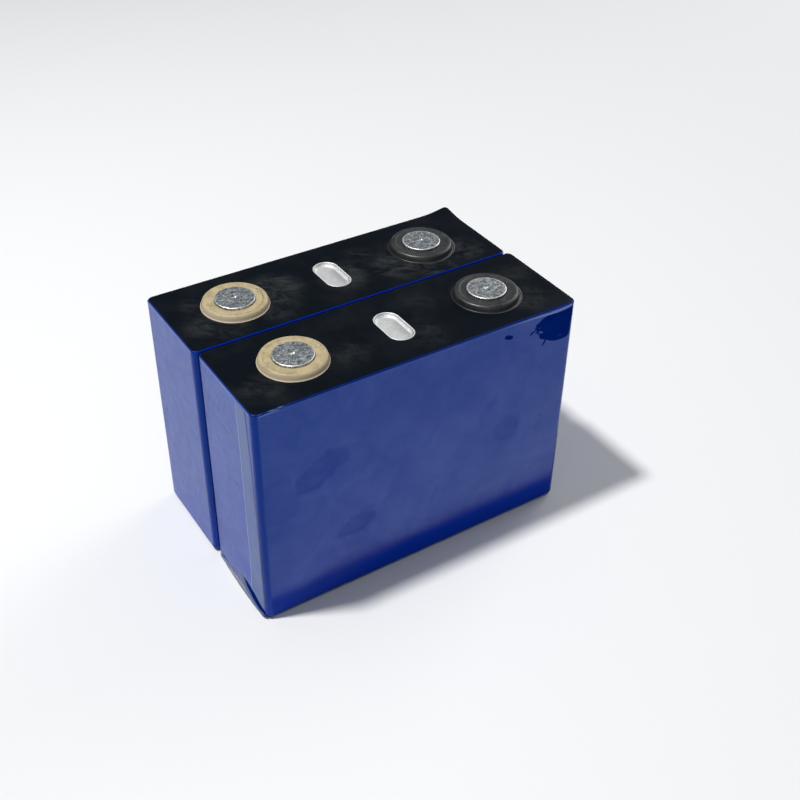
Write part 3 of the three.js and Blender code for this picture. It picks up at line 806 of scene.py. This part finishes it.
def add_strip(prefix, name, look, grid, side, thickness, **layers):
    """A thin closed sheet from rows of points, thickened away from the side it faces."""
    rows, columns = len(grid), len(grid[0])
    count = rows * columns
    front = [p for row in grid for p in row]
    back = [(x - thickness * side, y, z) for x, y, z in front]
    faces = grid_faces(rows, columns, closed_columns=False)
    faces += [tuple(count + k for k in reversed(face)) for face in faces]
    rim = list(range(columns))
    rim += [r * columns + columns - 1 for r in range(1, rows)]
    rim += [(rows - 1) * columns + k for k in range(columns - 2, -1, -1)]
    rim += [r * columns for r in range(rows - 2, 0, -1)]
    faces += [(b, a, count + a, count + b) for a, b in zip(rim, rim[1:] + rim[:1])]
    layers = {layer: values * 2 for layer, values in layers.items()}
    add_piece(prefix, name, (front + back, faces), look, "blue_film", **layers)


def end_x(y):
    """How far out a narrow face and its rounded corners are at y."""
    beyond = min(max(0, abs(y) - HALF_DEPTH + CORNER_RADIUS), CORNER_RADIUS)
    return HALF_WIDTH - CORNER_RADIUS + sqrt(CORNER_RADIUS ** 2 - beyond ** 2)


SEAM_SHARES = (0, 0.015, 0.04, 0.1, 0.2, 0.35, 0.5, 0.65, 0.8, 0.9, 0.95, 0.975, 1)


def build_seam(prefix, seed, side):
    """The overlap of the film's two ends: a strip up a narrow face, wider towards the ground.
    It lies near the front edge of a left end and near the back edge of a right one."""
    grid, edge = [], []
    top = FILM_HIGH.z - 1.15
    for t in np.linspace(0, 1, 96):
        row = []
        height = top * (1 - t)
        near = -23 + 4.1 * (height / top) ** 2.2 + 0.12 * wobble(seed + 21, height / 9)
        far = -10.4 - 1 * (1 - height / top) + 0.1 * wobble(seed + 22, height / 14)
        for share in SEAM_SHARES[::-1]:
            y = -side * (near + (far - near) * share)
            crease = end_crease(prefix, side, y)
            z = top + (crease + 0.15 - top) * t
            rise = smooth(0.82, 0.95, share) + smooth(0.1, 0.02, 0.1 - share)
            rise = 0.05 + 0.05 * rise if 0 < share < 1 else 0.03
            out = film_offset(prefix, seed, (side, 0), side * HALF_WIDTH, y, z)
            out += end_flare(prefix, side, y, z, crease)
            row.append((side * (end_x(y) + out + rise), y, z))
            # edge is 1 on the pale line painted at the inner edge and -1 on the dark line painted
            # as shade at the outer edge.
            edge.append(smooth(0.93, 0.97, share) - smooth(0.06, 0.03, share))
        grid.append(row)
    add_strip(prefix, "film_seam", "seam", grid, side, 0.09, edge=edge)


# Points (y, z) of the upper edge of the folded layer, and (y, distance) of its bulge.
FRONT_FOLD = (
    (-23.8, 0.7), (-18.5, 1), (-13.8, 2.3), (-9.5, 3.9), (-6.9, 5.2), (-5.4, 6.6), (-4.2, 8.6),
    (-2.1, 9.5), (4, 7.5), (13.6, 4.2), (20, 2.3), (23.8, 1.3),
)
PLAIN_FOLD = ((-22.8, 2), (-18, 3.2), (-5, 6), (3, 6.3), (16, 3.4), (22.8, 1.6))
FOLD_BULGE = (
    (-24, 0.1), (-21, 0.75), (-12, 1.05), (0, 1.05), (9, 0.75), (18, 0.35),
    (24, 0.1),
)
FOLD_LOW = 0.42


def build_fold(prefix, seed, side, upper_edge):
    """The folded layer that shows below the panel of a narrow face."""
    is_open = prefix == "front" and side < 0
    share_of_flare, stand, uneven = (1, 0.02, 0.05) if is_open else (0.04, -0.07, 0.015)
    grid, rise = [], []
    for t in (1, 0.85, 0.7, 0.55, 0.42, 0.3, 0.2, 0.12, 0.05, 0, -1, -2):
        row = []
        for y in np.linspace(upper_edge[0][0], upper_edge[-1][0], 56):
            bulge = share_of_flare * height_at(FOLD_BULGE, y)
            if t >= 0:
                z = FOLD_LOW + (height_at(upper_edge, y) + 0.25 - FOLD_LOW) * t
                out = bulge * (1 - 0.72 * t ** 0.8)
                out += uneven * (wobble(seed + 31, y / 5, z / 3) + bell(z - 2.6, 0.35))
            else:
                z = FOLD_LOW + 0.1 * t
                out = bulge + 0.45 * t
            row.append((side * (end_x(y) + stand + out), y, z))
            rise.append(max(t, 0))
        grid.append(row[::side])
    name = f"film_fold_{'right' if side > 0 else 'left'}"
    add_strip(prefix, name, "fold", grid, side, 0.1, rise=rise)


def build_slit():
    """The inside of the front cell's open fold, between the panel and the folded layer: a dark
    strip with no reflection, just under the film's face, painted as the shade in the fold.
    """
    grid = []
    for t in np.linspace(1, 0, 6):
        row = []
        for y in np.linspace(-4.6, -22.6, 30):
            top = min(height_at(FRONT_CREASE, y) + 0.5, 10.2)
            low = max(1.3, min(height_at(FRONT_FOLD, y) - 0.6, top - 0.3))
            row.append((-end_x(y) - 0.05, y, low + (top - low) * t))
        grid.append(row)
    add_strip("front", "film_fold_inside", "stain", grid, -1, 0.06)


# Outlines (x, z) of the wet patches, and the dry spots in the first one.
STAINS = (
    ((77.3, 97.7), (76, 96.5), (73.1, 96.3), (69.8, 96.4), (66.4, 97.6), (63.3, 99.3),
     (61, 100.4), (60, 101.9), (60.3, 103), (59, 103.2), (58.7, 104.4), (57.7, 104.6),
     (58.6, 105.4), (57, 106), (58, 106.6), (57, 107.2), (58, 107.7), (57.7, 108.7),
     (59.2, 109.5), (60.6, 110.6), (63, 111.8), (65.5, 111.7), (69, 111.4), (72.6, 111.6),
     (75.4, 111.9), (77.8, 112.6), (77.7, 105)),
    ((40.6, 108.1), (41.4, 108.9), (42.8, 108.8), (44.4, 108), (45.5, 107.1), (45.3, 106.3),
     (44.2, 106), (42.6, 106.5), (41.2, 107.2)),
    ((54.6, 104.5), (55.6, 105.6), (57.1, 106.2), (57.5, 105.6), (56.4, 104.8), (55.2, 104.1)),
    ((62, 96.3), (62.7, 98), (63.8, 99.2), (64.4, 98.8), (63.6, 97.4), (62.8, 96.2)),
    ((48.1, 108.6), (48.5, 109), (48.9, 108.6), (48.5, 108.2)),
    ((47.9, 105.9), (48.2, 106.3), (48.5, 105.9), (48.2, 105.5)),
)
STAIN_HOLES = {
    0: (((58.9, 103.9), (62.5, 103.3), (60.6, 105)), ((71.6, 98.3), (72.8, 98.5), (72.3, 99.4)),
        ((59.6, 106.2), (60.4, 106.2), (60, 107))),
}


def ragged(loop, seed, middle, step=0.55, amount=0.22):
    """A loop made anticlockwise about a middle, with more points and an uneven edge."""
    points = [Vector(p) for p in loop]
    if sum(a.x * b.y - b.x * a.y for a, b in zip(points, points[1:] + points[:1])) < 0:
        points.reverse()
    dense = []
    for a, b in zip(points, points[1:] + points[:1]):
        pieces = max(1, round((b - a).length / step))
        dense += [a.lerp(b, k / pieces) for k in range(pieces)]
    size = amount * min(1, len(dense) / 14)
    return [(x + wobble(seed, x / 0.9, y / 0.9) * size - middle[0],
             y + wobble(seed + 4, x / 0.9, y / 0.9) * size - middle[1]) for x, y in dense]


def build_stains(prefix, seed):
    """Patches of the front face where the film lies wet on the can."""
    points, faces = [], []
    edge = [(-0.03, 0.05), (-0.015, 0.045), (0, 0.03)]
    hole_edge = [(-distance, height) for distance, height in edge]
    for number, loop in enumerate(STAINS):
        middle = np.mean(loop, axis=0)
        holes = [(ragged(hole, seed + number, middle), hole_edge)
                 for hole in STAIN_HOLES.get(number, ())]

        def follow(a, b):
            return film_offset(prefix, seed, (0, -1), a + middle[0], -HALF_DEPTH, b + middle[1])

        plate = holed_plate(ragged(loop, seed + number, middle), edge, holes, 0.012, 0.8, follow)
        first = len(points)
        points += [(a + middle[0], -HALF_DEPTH - h, b + middle[1]) for a, b, h in plate[0]]
        faces += [tuple(first + k for k in face) for face in plate[1]]
    add_piece(prefix, "film_stain", (points, faces), "stain", "blue_film", sharp=60)


# ---- Sheets, lid and vent --------------------

# Dusty places on the black sheets: x, y, reach, strength.
DUST = {
    "front": (
        (48.4, 0, 19, 0.5), (62, -12, 13, 0.8), (70, 8, 10, 0.4),
        (-48.4, 0, 19, 0.45), (-26, -8, 12, 0.5), (8, -12, 14, 0.45),
        (-68, -10, 13, 0.55),
        (20, 10, 10, 0.2),
    ),
    "rear": (
        (48.4, 0, 20, 0.9), (30, -8, 17, 1), (44, -18, 14, 0.9),
        (64, -12, 13, 0.9), (-28, 2, 17, 0.9), (-34, -12, 14, 0.7),
        (-66, -8, 13, 0.75), (-58, -16, 11, 0.7), (-64, 8, 10, 0.5),
        (4, -4, 15, 0.9), (18, 8, 10, 0.6),
    ),
}


def dust_at(prefix, x, y):
    return max(0, *(strength * (1 - smooth(0.35, 1, hypot(x - px, y - py) / reach))
                      for px, py, reach, strength in DUST[prefix]))


def build_sheet(prefix, seed):
    """The black sheet, a little wavy. The rear one curls up at its right back corner."""
    def lift(x, y):
        rise = 0.05 + 0.045 * wobble(seed + 41, x / 16, y / 14)
        if prefix == "rear":
            rise += 2.1 * max(0, 1 - hypot(HALF_WIDTH - x, HALF_DEPTH - y) / 15) ** 1.6
        return rise

    top, bottom = SHEET_HIGH.z, SHEET_LOW.z
    outer = outline(HALF_WIDTH - SHEET_HIGH.x, outline_columns(wide=84, narrow=28, corner=7))
    edge, hole = ([(s * 0.12, top), (s * 0.04, top - 0.03), (0, top - 0.11),
                   (0, bottom + 0.08)] for s in (-1, 1))
    holes = [(circle(SHEET_HOLE_RADIUS["positive"], TERMINAL_X["positive"], 120), hole),
             (oblong(SHEET_VENT_RADIUS), hole),
             (circle(SHEET_HOLE_RADIUS["negative"], TERMINAL_X["negative"], 120), hole)]
    shape = holed_plate(outer, edge, holes, bottom, 1.9, lift)
    add_piece(prefix, "sheet", shape, f"{prefix}_sheet", "black_sheet", "top_sheet",
              dust=[dust_at(prefix, x, y) for x, y, _ in shape[0]])


def build_can(prefix):
    """The deep-drawn can, rounded at its foot inside and out."""
    low, high = local_box("can", prefix)
    wall, floor, roll, inner_roll = 0.8, 1.25, 2.2, 1
    inset = HALF_WIDTH - high.x
    inner = inset + wall
    turns = [(1 - sin(pi / 2 * k / 6), 1 - cos(pi / 2 * k / 6)) for k in range(7)]
    section = [(inner + inner_roll * a, low.z + floor + inner_roll * b) for a, b in turns]
    section += [(inner, 40), (inner, high.z - 0.1), (inner - 0.1, high.z),
                (inset + 0.12, high.z), (inset, high.z - 0.12), (inset, 40)]
    section += [(inset + roll * b, low.z + roll * a) for a, b in turns]
    columns = outline_columns(wide=30, narrow=12, corner=6)
    shape = stacked_loops([(outline(i, columns), z) for i, z in section])
    add_piece(prefix, "can_body", shape, "can", "can_aluminium", "can", sharp=40)


def build_lid(prefix):
    """The lid, with the vent's seat, the filling hole and the holes for the poles."""
    top, bottom = LID_HIGH.z, LID_LOW.z
    seat, fill_seat = VENT_LOW.z - 0.05, LID_HIGH.z - FILL_SEAT_DEPTH
    step = VENT_SEAT_RADIUS + 0.05 - LID_THROAT_RADIUS
    edge, plain = ([(s * 0.15, top), (s * 0.04, top - 0.04), (0, top - 0.15),
                    (0, bottom + 0.15)] for s in (-1, 1))
    mouth, fill = ([(reach + 0.1, top), (reach, top - 0.1), (reach, z), (0, z),
                    (0, bottom + 0.2)]
                   for reach, z in ((step, seat), (FILL_SEAT_RADIUS, fill_seat)))
    outer = outline(HALF_WIDTH - LID_HIGH.x, outline_columns(wide=40, narrow=14, corner=5))
    holes = [(circle(LID_POLE_HOLE_RADIUS, TERMINAL_X["positive"], 64), plain),
             (oblong(LID_THROAT_RADIUS), mouth),
             (circle(FILL_HOLE_RADIUS, FILL_X, 40), fill),
             (circle(LID_POLE_HOLE_RADIUS, TERMINAL_X["negative"], 64), plain)]
    shape = holed_plate(outer, edge, holes, bottom, 4)
    add_piece(prefix, "lid_plate", shape, "lid", "can_aluminium", "lid")


# The vent's section from the floor up its stepped wall and over its rolled rim: radius, height.
VENT_SECTION = (
    (0.6, 0.4), (1.4, 0.39), (2.2, 0.37), (3, 0.345), (3.6, 0.32), (4.05, 0.31),
    (4.28, 0.33), (4.44, 0.38), (4.56, 0.47), (4.65, 0.6), (4.72, 0.71), (4.81, 0.78),
    (4.94, 0.8), (5.04, 0.84), (5.11, 0.96), (5.16, 1.12), (5.21, 1.28), (5.27, 1.36),
    (5.34, 1.38), (5.41, 1.42), (5.46, 1.56), (5.52, 1.74), (5.62, 1.86), (5.76, 1.93),
    (5.9, 1.92), (6.02, 1.84), (6.1, 1.72), (6.14, 1.58), (6.1, 1.53),
)


def build_vent(prefix):
    """A thin pressed dish in the lid's seat, with a bowed floor. Its grooves and rim edges are
    painted dark, partly dirt and partly painted shade strongest on the near side, and the right of
    its floor is painted darker as painted shade.
    """
    radius = VENT_SEAT_RADIUS
    under = ((radius, 1.52), (radius, 0.05), (radius - 0.05, 0), (3, 0), (0.8, 0))
    rows = [(r, oblong(r), VENT_LOW.z + height) for r, height in VENT_SECTION + under]
    groove = []
    for r, loop, _ in rows:
        line = smooth(5.2, 5.28, r) * smooth(5.5, 5.42, r)
        line += 0.55 * smooth(4.7, 4.8, r) * smooth(5.02, 4.94, r)
        rest = 0.12 * smooth(4.5, 4.2, r) + 0.06 * smooth(5.5, 5.6, r) + 0.45 * smooth(6, 6.1, r)
        for x, y in loop:
            near = 0.5 + 0.5 * smooth(2, -2, 0.5 * x + 0.35 * y)
            # Painted shade on the right of the floor.
            bowed = 0.24 * smooth(4.5, 4.2, r) * smooth(-1.5, 4, x)
            groove.append(line * near + rest + bowed)
    shape = stacked_loops([row[1:] for row in rows])
    add_piece(prefix, "vent", shape, "dish", "vent_aluminium", "vent_disc", groove=groove)


# ---- Terminals --------------------

# Sections of the collars, from inside the top down to the foot: radius, height.
COLLAR_TOP = (
    (8.85, 115.25), (9, 115.35), (9, 116.74), (9.08, 116.84), (9.3, 116.87),
    (9.8, 116.87), (10.3, 116.87), (10.8, 116.87), (11.1, 116.88), (11.4, 116.9),
    (11.65, 116.93), (11.85, 116.98), (12.05, 117.05), (12.15, 117.08), (12.25, 117.1),
    (12.35, 117.11), (12.5, 117.12), (12.9, 117.13), (13.25, 117.11), (13.55, 117.05),
    (13.82, 116.95), (14.06, 116.8), (14.26, 116.6), (14.41, 116.36), (14.52, 116.08),
)
COLLAR_SKIRT = {
    "positive": ((14.6, 115.75), (14.68, 115.35), (14.77, 114.95), (14.86, 114.68), (15, 114.52),
                 (15.15, 114.44)),
    "negative": ((14.6, 115.75), (14.68, 115.35), (14.76, 114.95), (14.83, 114.6), (14.9, 114.35),
                 (15.02, 114.22), (15.4, 114.18)),
}
COLLAR_FACE_LOW = 116
COLLAR_FOOT = {"positive": 15.2, "negative": 15.72}
COLLAR_CUP = ((5.2, 114), (5.1, 114.1), (5.1, 115.15), (5.2, 115.25))
# Where the moulding gate was, from the terminal's middle.
GATES = {
    ("front", "positive"): (12, 0.6), ("front", "negative"): (12.2, 0.2),
    ("rear", "positive"): (12, 0.4), ("rear", "negative"): (12.2, -0.3),
}
GROOVE_RADIUS = 12.25
# The depth of the groove round the top of a collar, and the direction it is deepest in.
GROOVES = {("front", "positive"): (0.2, 2.6), ("rear", "positive"): (0.42, -1.1)}


def build_collar(prefix, seed, polarity):
    """The moulded collar, with the lump of its gate and a slightly uneven skin."""
    x = TERMINAL_X[polarity]
    foot = COLLAR_FOOT[polarity]
    gate_u, gate_v = GATES[(prefix, polarity)]
    groove_depth, groove_side = GROOVES.get((prefix, polarity), (0, 0))

    def groove_at(u, v):
        depth = groove_depth * bell(hypot(u, v) - GROOVE_RADIUS, 0.28)
        return depth * smooth(-0.6, 0.3, cos(atan2(v, u) - groove_side))

    def shift(u, v, z):
        if z < COLLAR_FACE_LOW:
            return z
        gap = hypot(u - gate_u, v - gate_v)
        dish = 0.04 * smooth(12.5, 12.05, hypot(u, v)) * (1 + 0.9 * cos(atan2(v, u) + 0.5))
        gate = 0.34 * bell(gap, 0.95) - 0.5 * bell(gap, 0.5)
        return z + 0.03 * wobble(seed + 51, u / 3.5, v / 3.5) + gate - dish - groove_at(u, v)

    section = COLLAR_TOP + COLLAR_SKIRT[polarity]
    section += ((foot, 114.15), (foot, 114.08), (foot - 0.1, 114)) + COLLAR_CUP
    points, faces = stacked_loops([(circle(r, x, 168), z) for r, z in section], closed=True)
    points = [(px, py, shift(px - x, py, pz)) for px, py, pz in points]
    # Below this height the wall is painted: lighter on the tan collars as painted light, darker at
    # the black collars' foot as painted shade.
    sunk_from = 116.6 if polarity == "positive" else 115
    grime, sunk = [], []
    for px, v, z in points:
        u = px - x
        gap = hypot(u - gate_u, v - gate_v)
        # Dark residue marks, and painted shade round the gate's lump and in the groove.
        mark = max(bell(u + 11.4, 0.9) * bell(v - 0.4, 0.45),
                   0.8 * bell(u + 12.6, 0.3) * bell(v - 1.6, 0.35),
                   0.9 * bell(gap - 0.95, 0.28), 2 * groove_at(u, v))
        grime.append(mark if z > 116.5 else 0)
        pale = 0.9 * bell(gap, 0.75) if polarity == "positive" else 0
        sunk.append(max(pale, smooth(sunk_from, sunk_from - 0.6, z)))
    slot = "tan_plastic" if polarity == "positive" else "black_plastic"
    add_piece(prefix, f"{polarity}_collar", (points, faces), f"{polarity}_collar", slot,
              f"{polarity}_upper_insulator", grime=grime, sunk=sunk)


def build_pad(prefix, seed, polarity):
    """The welding pad, with its centre mark, swirl of tool marks, a painted highlight on its
    bevelled edge and a pale curl beside its centre mark.
    """
    x = TERMINAL_X[polarity]
    top, bottom = PAD_HIGH.z, PAD_LOW.z
    bright_from, swirl = (8.15, 0.8) if polarity == "negative" else (8.4, 0.24)
    dimple = ((0.06, 0.5), (0.25, 0.44), (0.5, 0.32), (0.75, 0.18), (0.95, 0.07), (1.15, 0.02),
              (1.4, 0))
    face = [(r, 0) for r in np.arange(1.65, 8.3, 0.25)]
    bevel = ((8.35, 0), (8.5, 0), (8.65, 0.02), (8.78, 0.08), (8.86, 0.16), (8.9, 0.28),
             (8.9, 0.5))
    section = [(r, top - depth) for r, depth in (*dimple, *face, *bevel)]
    section += [(8.9, bottom + 0.1), (8.8, bottom), (3.15, bottom), (3.05, bottom + 0.1),
                (3.05, bottom + 1.2)]

    def shift(u, v, z):
        radius = hypot(u, v)
        if z < top - 0.05 or not 1.2 < radius < 8.45:
            return z
        dent = 0.03 * wobble(seed + 61, u / 0.8 + radius / 3, v / 0.8)
        ring = 0.02 * (1 + sin(radius * 5.2 + 1.6 * wobble(seed + 62, u / 3, v / 3)))
        return z - abs(dent) - ring * smooth(7, 2, radius) * swirl

    points, faces = stacked_loops([(circle(r, x, 144), z) for r, z in section])
    points = [(px, py, shift(px - x, py, pz)) for px, py, pz in points]
    edge = []
    for px, v, z in points:
        u = px - x
        # Painted highlight on the bevel's top.
        share = smooth(bright_from, bright_from + 0.2, hypot(u, v))
        share *= smooth(top - 0.26, top - 0.08, z)
        curl = bell(hypot(u + 2.2, v + 0.6) - 1.1, 0.22) * smooth(1.2, -1, v + u)
        edge.append(max(share, 0.75 * curl if z > bottom + 1.9 else 0))
    add_piece(prefix, f"{polarity}_weld_pad", (points, faces), "pad", "pad_aluminium",
              f"{polarity}_pad", sharp=60, edge=edge)


# ---- CAD nodes that stay --------------------

# The look of each node that stays, and the width of its softened edges.
KEPT = {
    "bottom_sheet": ("clear", 0.06), "fill_plug": ("rubber", 0.08), "fill_cap": ("can", 0.08),
    "core_bag": ("bag", 0.05), "bottom_spacer": ("white", 0.12),
}
KEPT_AT_TERMINALS = {
    "pole": ("foil", 0.2), "seal_ring": ("rubber", 0.12), "lower_insulator": ("black", 0.2),
    "collector": ("foil", 0.2), "foil_tab_1": ("foil", 0.1), "foil_tab_2": ("foil", 0.1),
}
ROLL_EDGE = 0.15


def dress_node(node, material, width):
    """Softens a CAD node's edges and gives it its material."""
    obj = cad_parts[node]
    obj.data.materials.clear()
    obj.data.materials.append(material)
    bevel = obj.modifiers.new("soft_edges", "BEVEL")
    bevel.width = width * MM
    bevel.segments = 2
    bevel.limit_method = "ANGLE"
    bevel.angle_limit = radians(40)
    bevel.use_clamp_overlap = True


def dress_kept_nodes(prefix):
    for name, (look, width) in KEPT.items():
        dress_node(f"{prefix}_{name}", MATERIALS[look], width)
    for name, (look, width) in KEPT_AT_TERMINALS.items():
        for polarity in TERMINAL_X:
            metal = "copper" if polarity == "negative" and look == "foil" else look
            dress_node(f"{prefix}_{polarity}_{name}", MATERIALS[metal], width)
    for node in (f"{prefix}_jelly_roll_1", f"{prefix}_jelly_roll_2"):
        low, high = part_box(node)
        dress_node(node, roll_material(node, (low + high) / 2, high.y - low.y), ROLL_EDGE)


# ---- Assembly --------------------

for prefix, seed in SEEDS.items():
    build_film(prefix, seed)
    build_sheet(prefix, seed)
    build_can(prefix)
    build_lid(prefix)
    build_vent(prefix)
    for polarity in TERMINAL_X:
        build_collar(prefix, seed, polarity)
        build_pad(prefix, seed, polarity)
    build_fold(prefix, seed, 1, PLAIN_FOLD)
    dress_kept_nodes(prefix)

build_fold("front", SEEDS["front"], -1, FRONT_FOLD)
build_slit()
build_stains("front", SEEDS["front"])
build_seam("front", SEEDS["front"], -1)
build_seam("rear", SEEDS["rear"], 1)


# ---- Camera, floor and light --------------------

CAMERA_PLACE = (-0.21988, -0.36793, 0.38631)
CAMERA_TARGET = (0.01035, -0.01625, 0.065)
CAMERA_ROLL = radians(1.037)
CAMERA_LENS = 51.76
SENSOR_WIDTH = 36

FLOOR_SIZE = 8
FLOOR_COLOUR = rgb(0.84, 0.84, 0.835)
WORLD_COLOUR = rgb(0.88, 0.92, 1)
WORLD_STRENGTH = 0.235

# Each light: the direction it comes from, its distance, size and watts.
LIGHTS = {
    "key": ((-0.36, 0.088, 1), 1.6, 0.13, 21.5),
    "side_fill": ((1, 0.25, 0.55), 1.8, 1.2, 10),
    "low_fill": ((-0.55, -1, 0.32), 1.8, 1.2, 3),
}


def add_camera():
    data = bpy.data.cameras.new("camera")
    data.sensor_width = SENSOR_WIDTH
    data.lens = CAMERA_LENS
    data.clip_start = 0.01
    camera = add_object("camera", data)
    back = (Vector(CAMERA_PLACE) - Vector(CAMERA_TARGET)).normalized()
    right = Matrix.Rotation(CAMERA_ROLL, 3, back) @ Vector((0, 0, 1)).cross(back).normalized()
    axes = Matrix((right, back.cross(right), back)).transposed().to_4x4()
    camera.matrix_world = Matrix.Translation(CAMERA_PLACE) @ axes
    bpy.context.scene.camera = camera


def add_area_light(name, direction, distance, size, watts):
    data = bpy.data.lights.new(name, "AREA")
    data.shape = "DISK"
    data.size = size
    data.energy = watts
    light = add_object(name, data)
    away = Vector(direction).normalized()
    light.location = away * distance
    light.rotation_euler = (-away).to_track_quat("-Z", "Y").to_euler()


def add_floor():
    half = FLOOR_SIZE / 2
    mesh = bpy.data.meshes.new("floor")
    corners = [(-half, -half, 0), (half, -half, 0), (half, half, 0), (-half, half, 0)]
    mesh.from_pydata(corners, [], [(0, 1, 2, 3)])
    paint = Paint("floor", Base_Color=FLOOR_COLOUR, Roughness=0.9, Specular_IOR_Level=0)
    mesh.materials.append(paint.material)
    add_object("floor", mesh)


def add_world():
    world = bpy.data.worlds.new("studio")
    world.use_nodes = True
    background = world.node_tree.nodes["Background"]
    background.inputs["Color"].default_value = WORLD_COLOUR
    background.inputs["Strength"].default_value = WORLD_STRENGTH
    bpy.context.scene.world = world


add_camera()
add_floor()
add_world()
for name, settings in LIGHTS.items():
    add_area_light(name, *settings)
bpy.context.scene.view_settings.view_transform = "Standard"
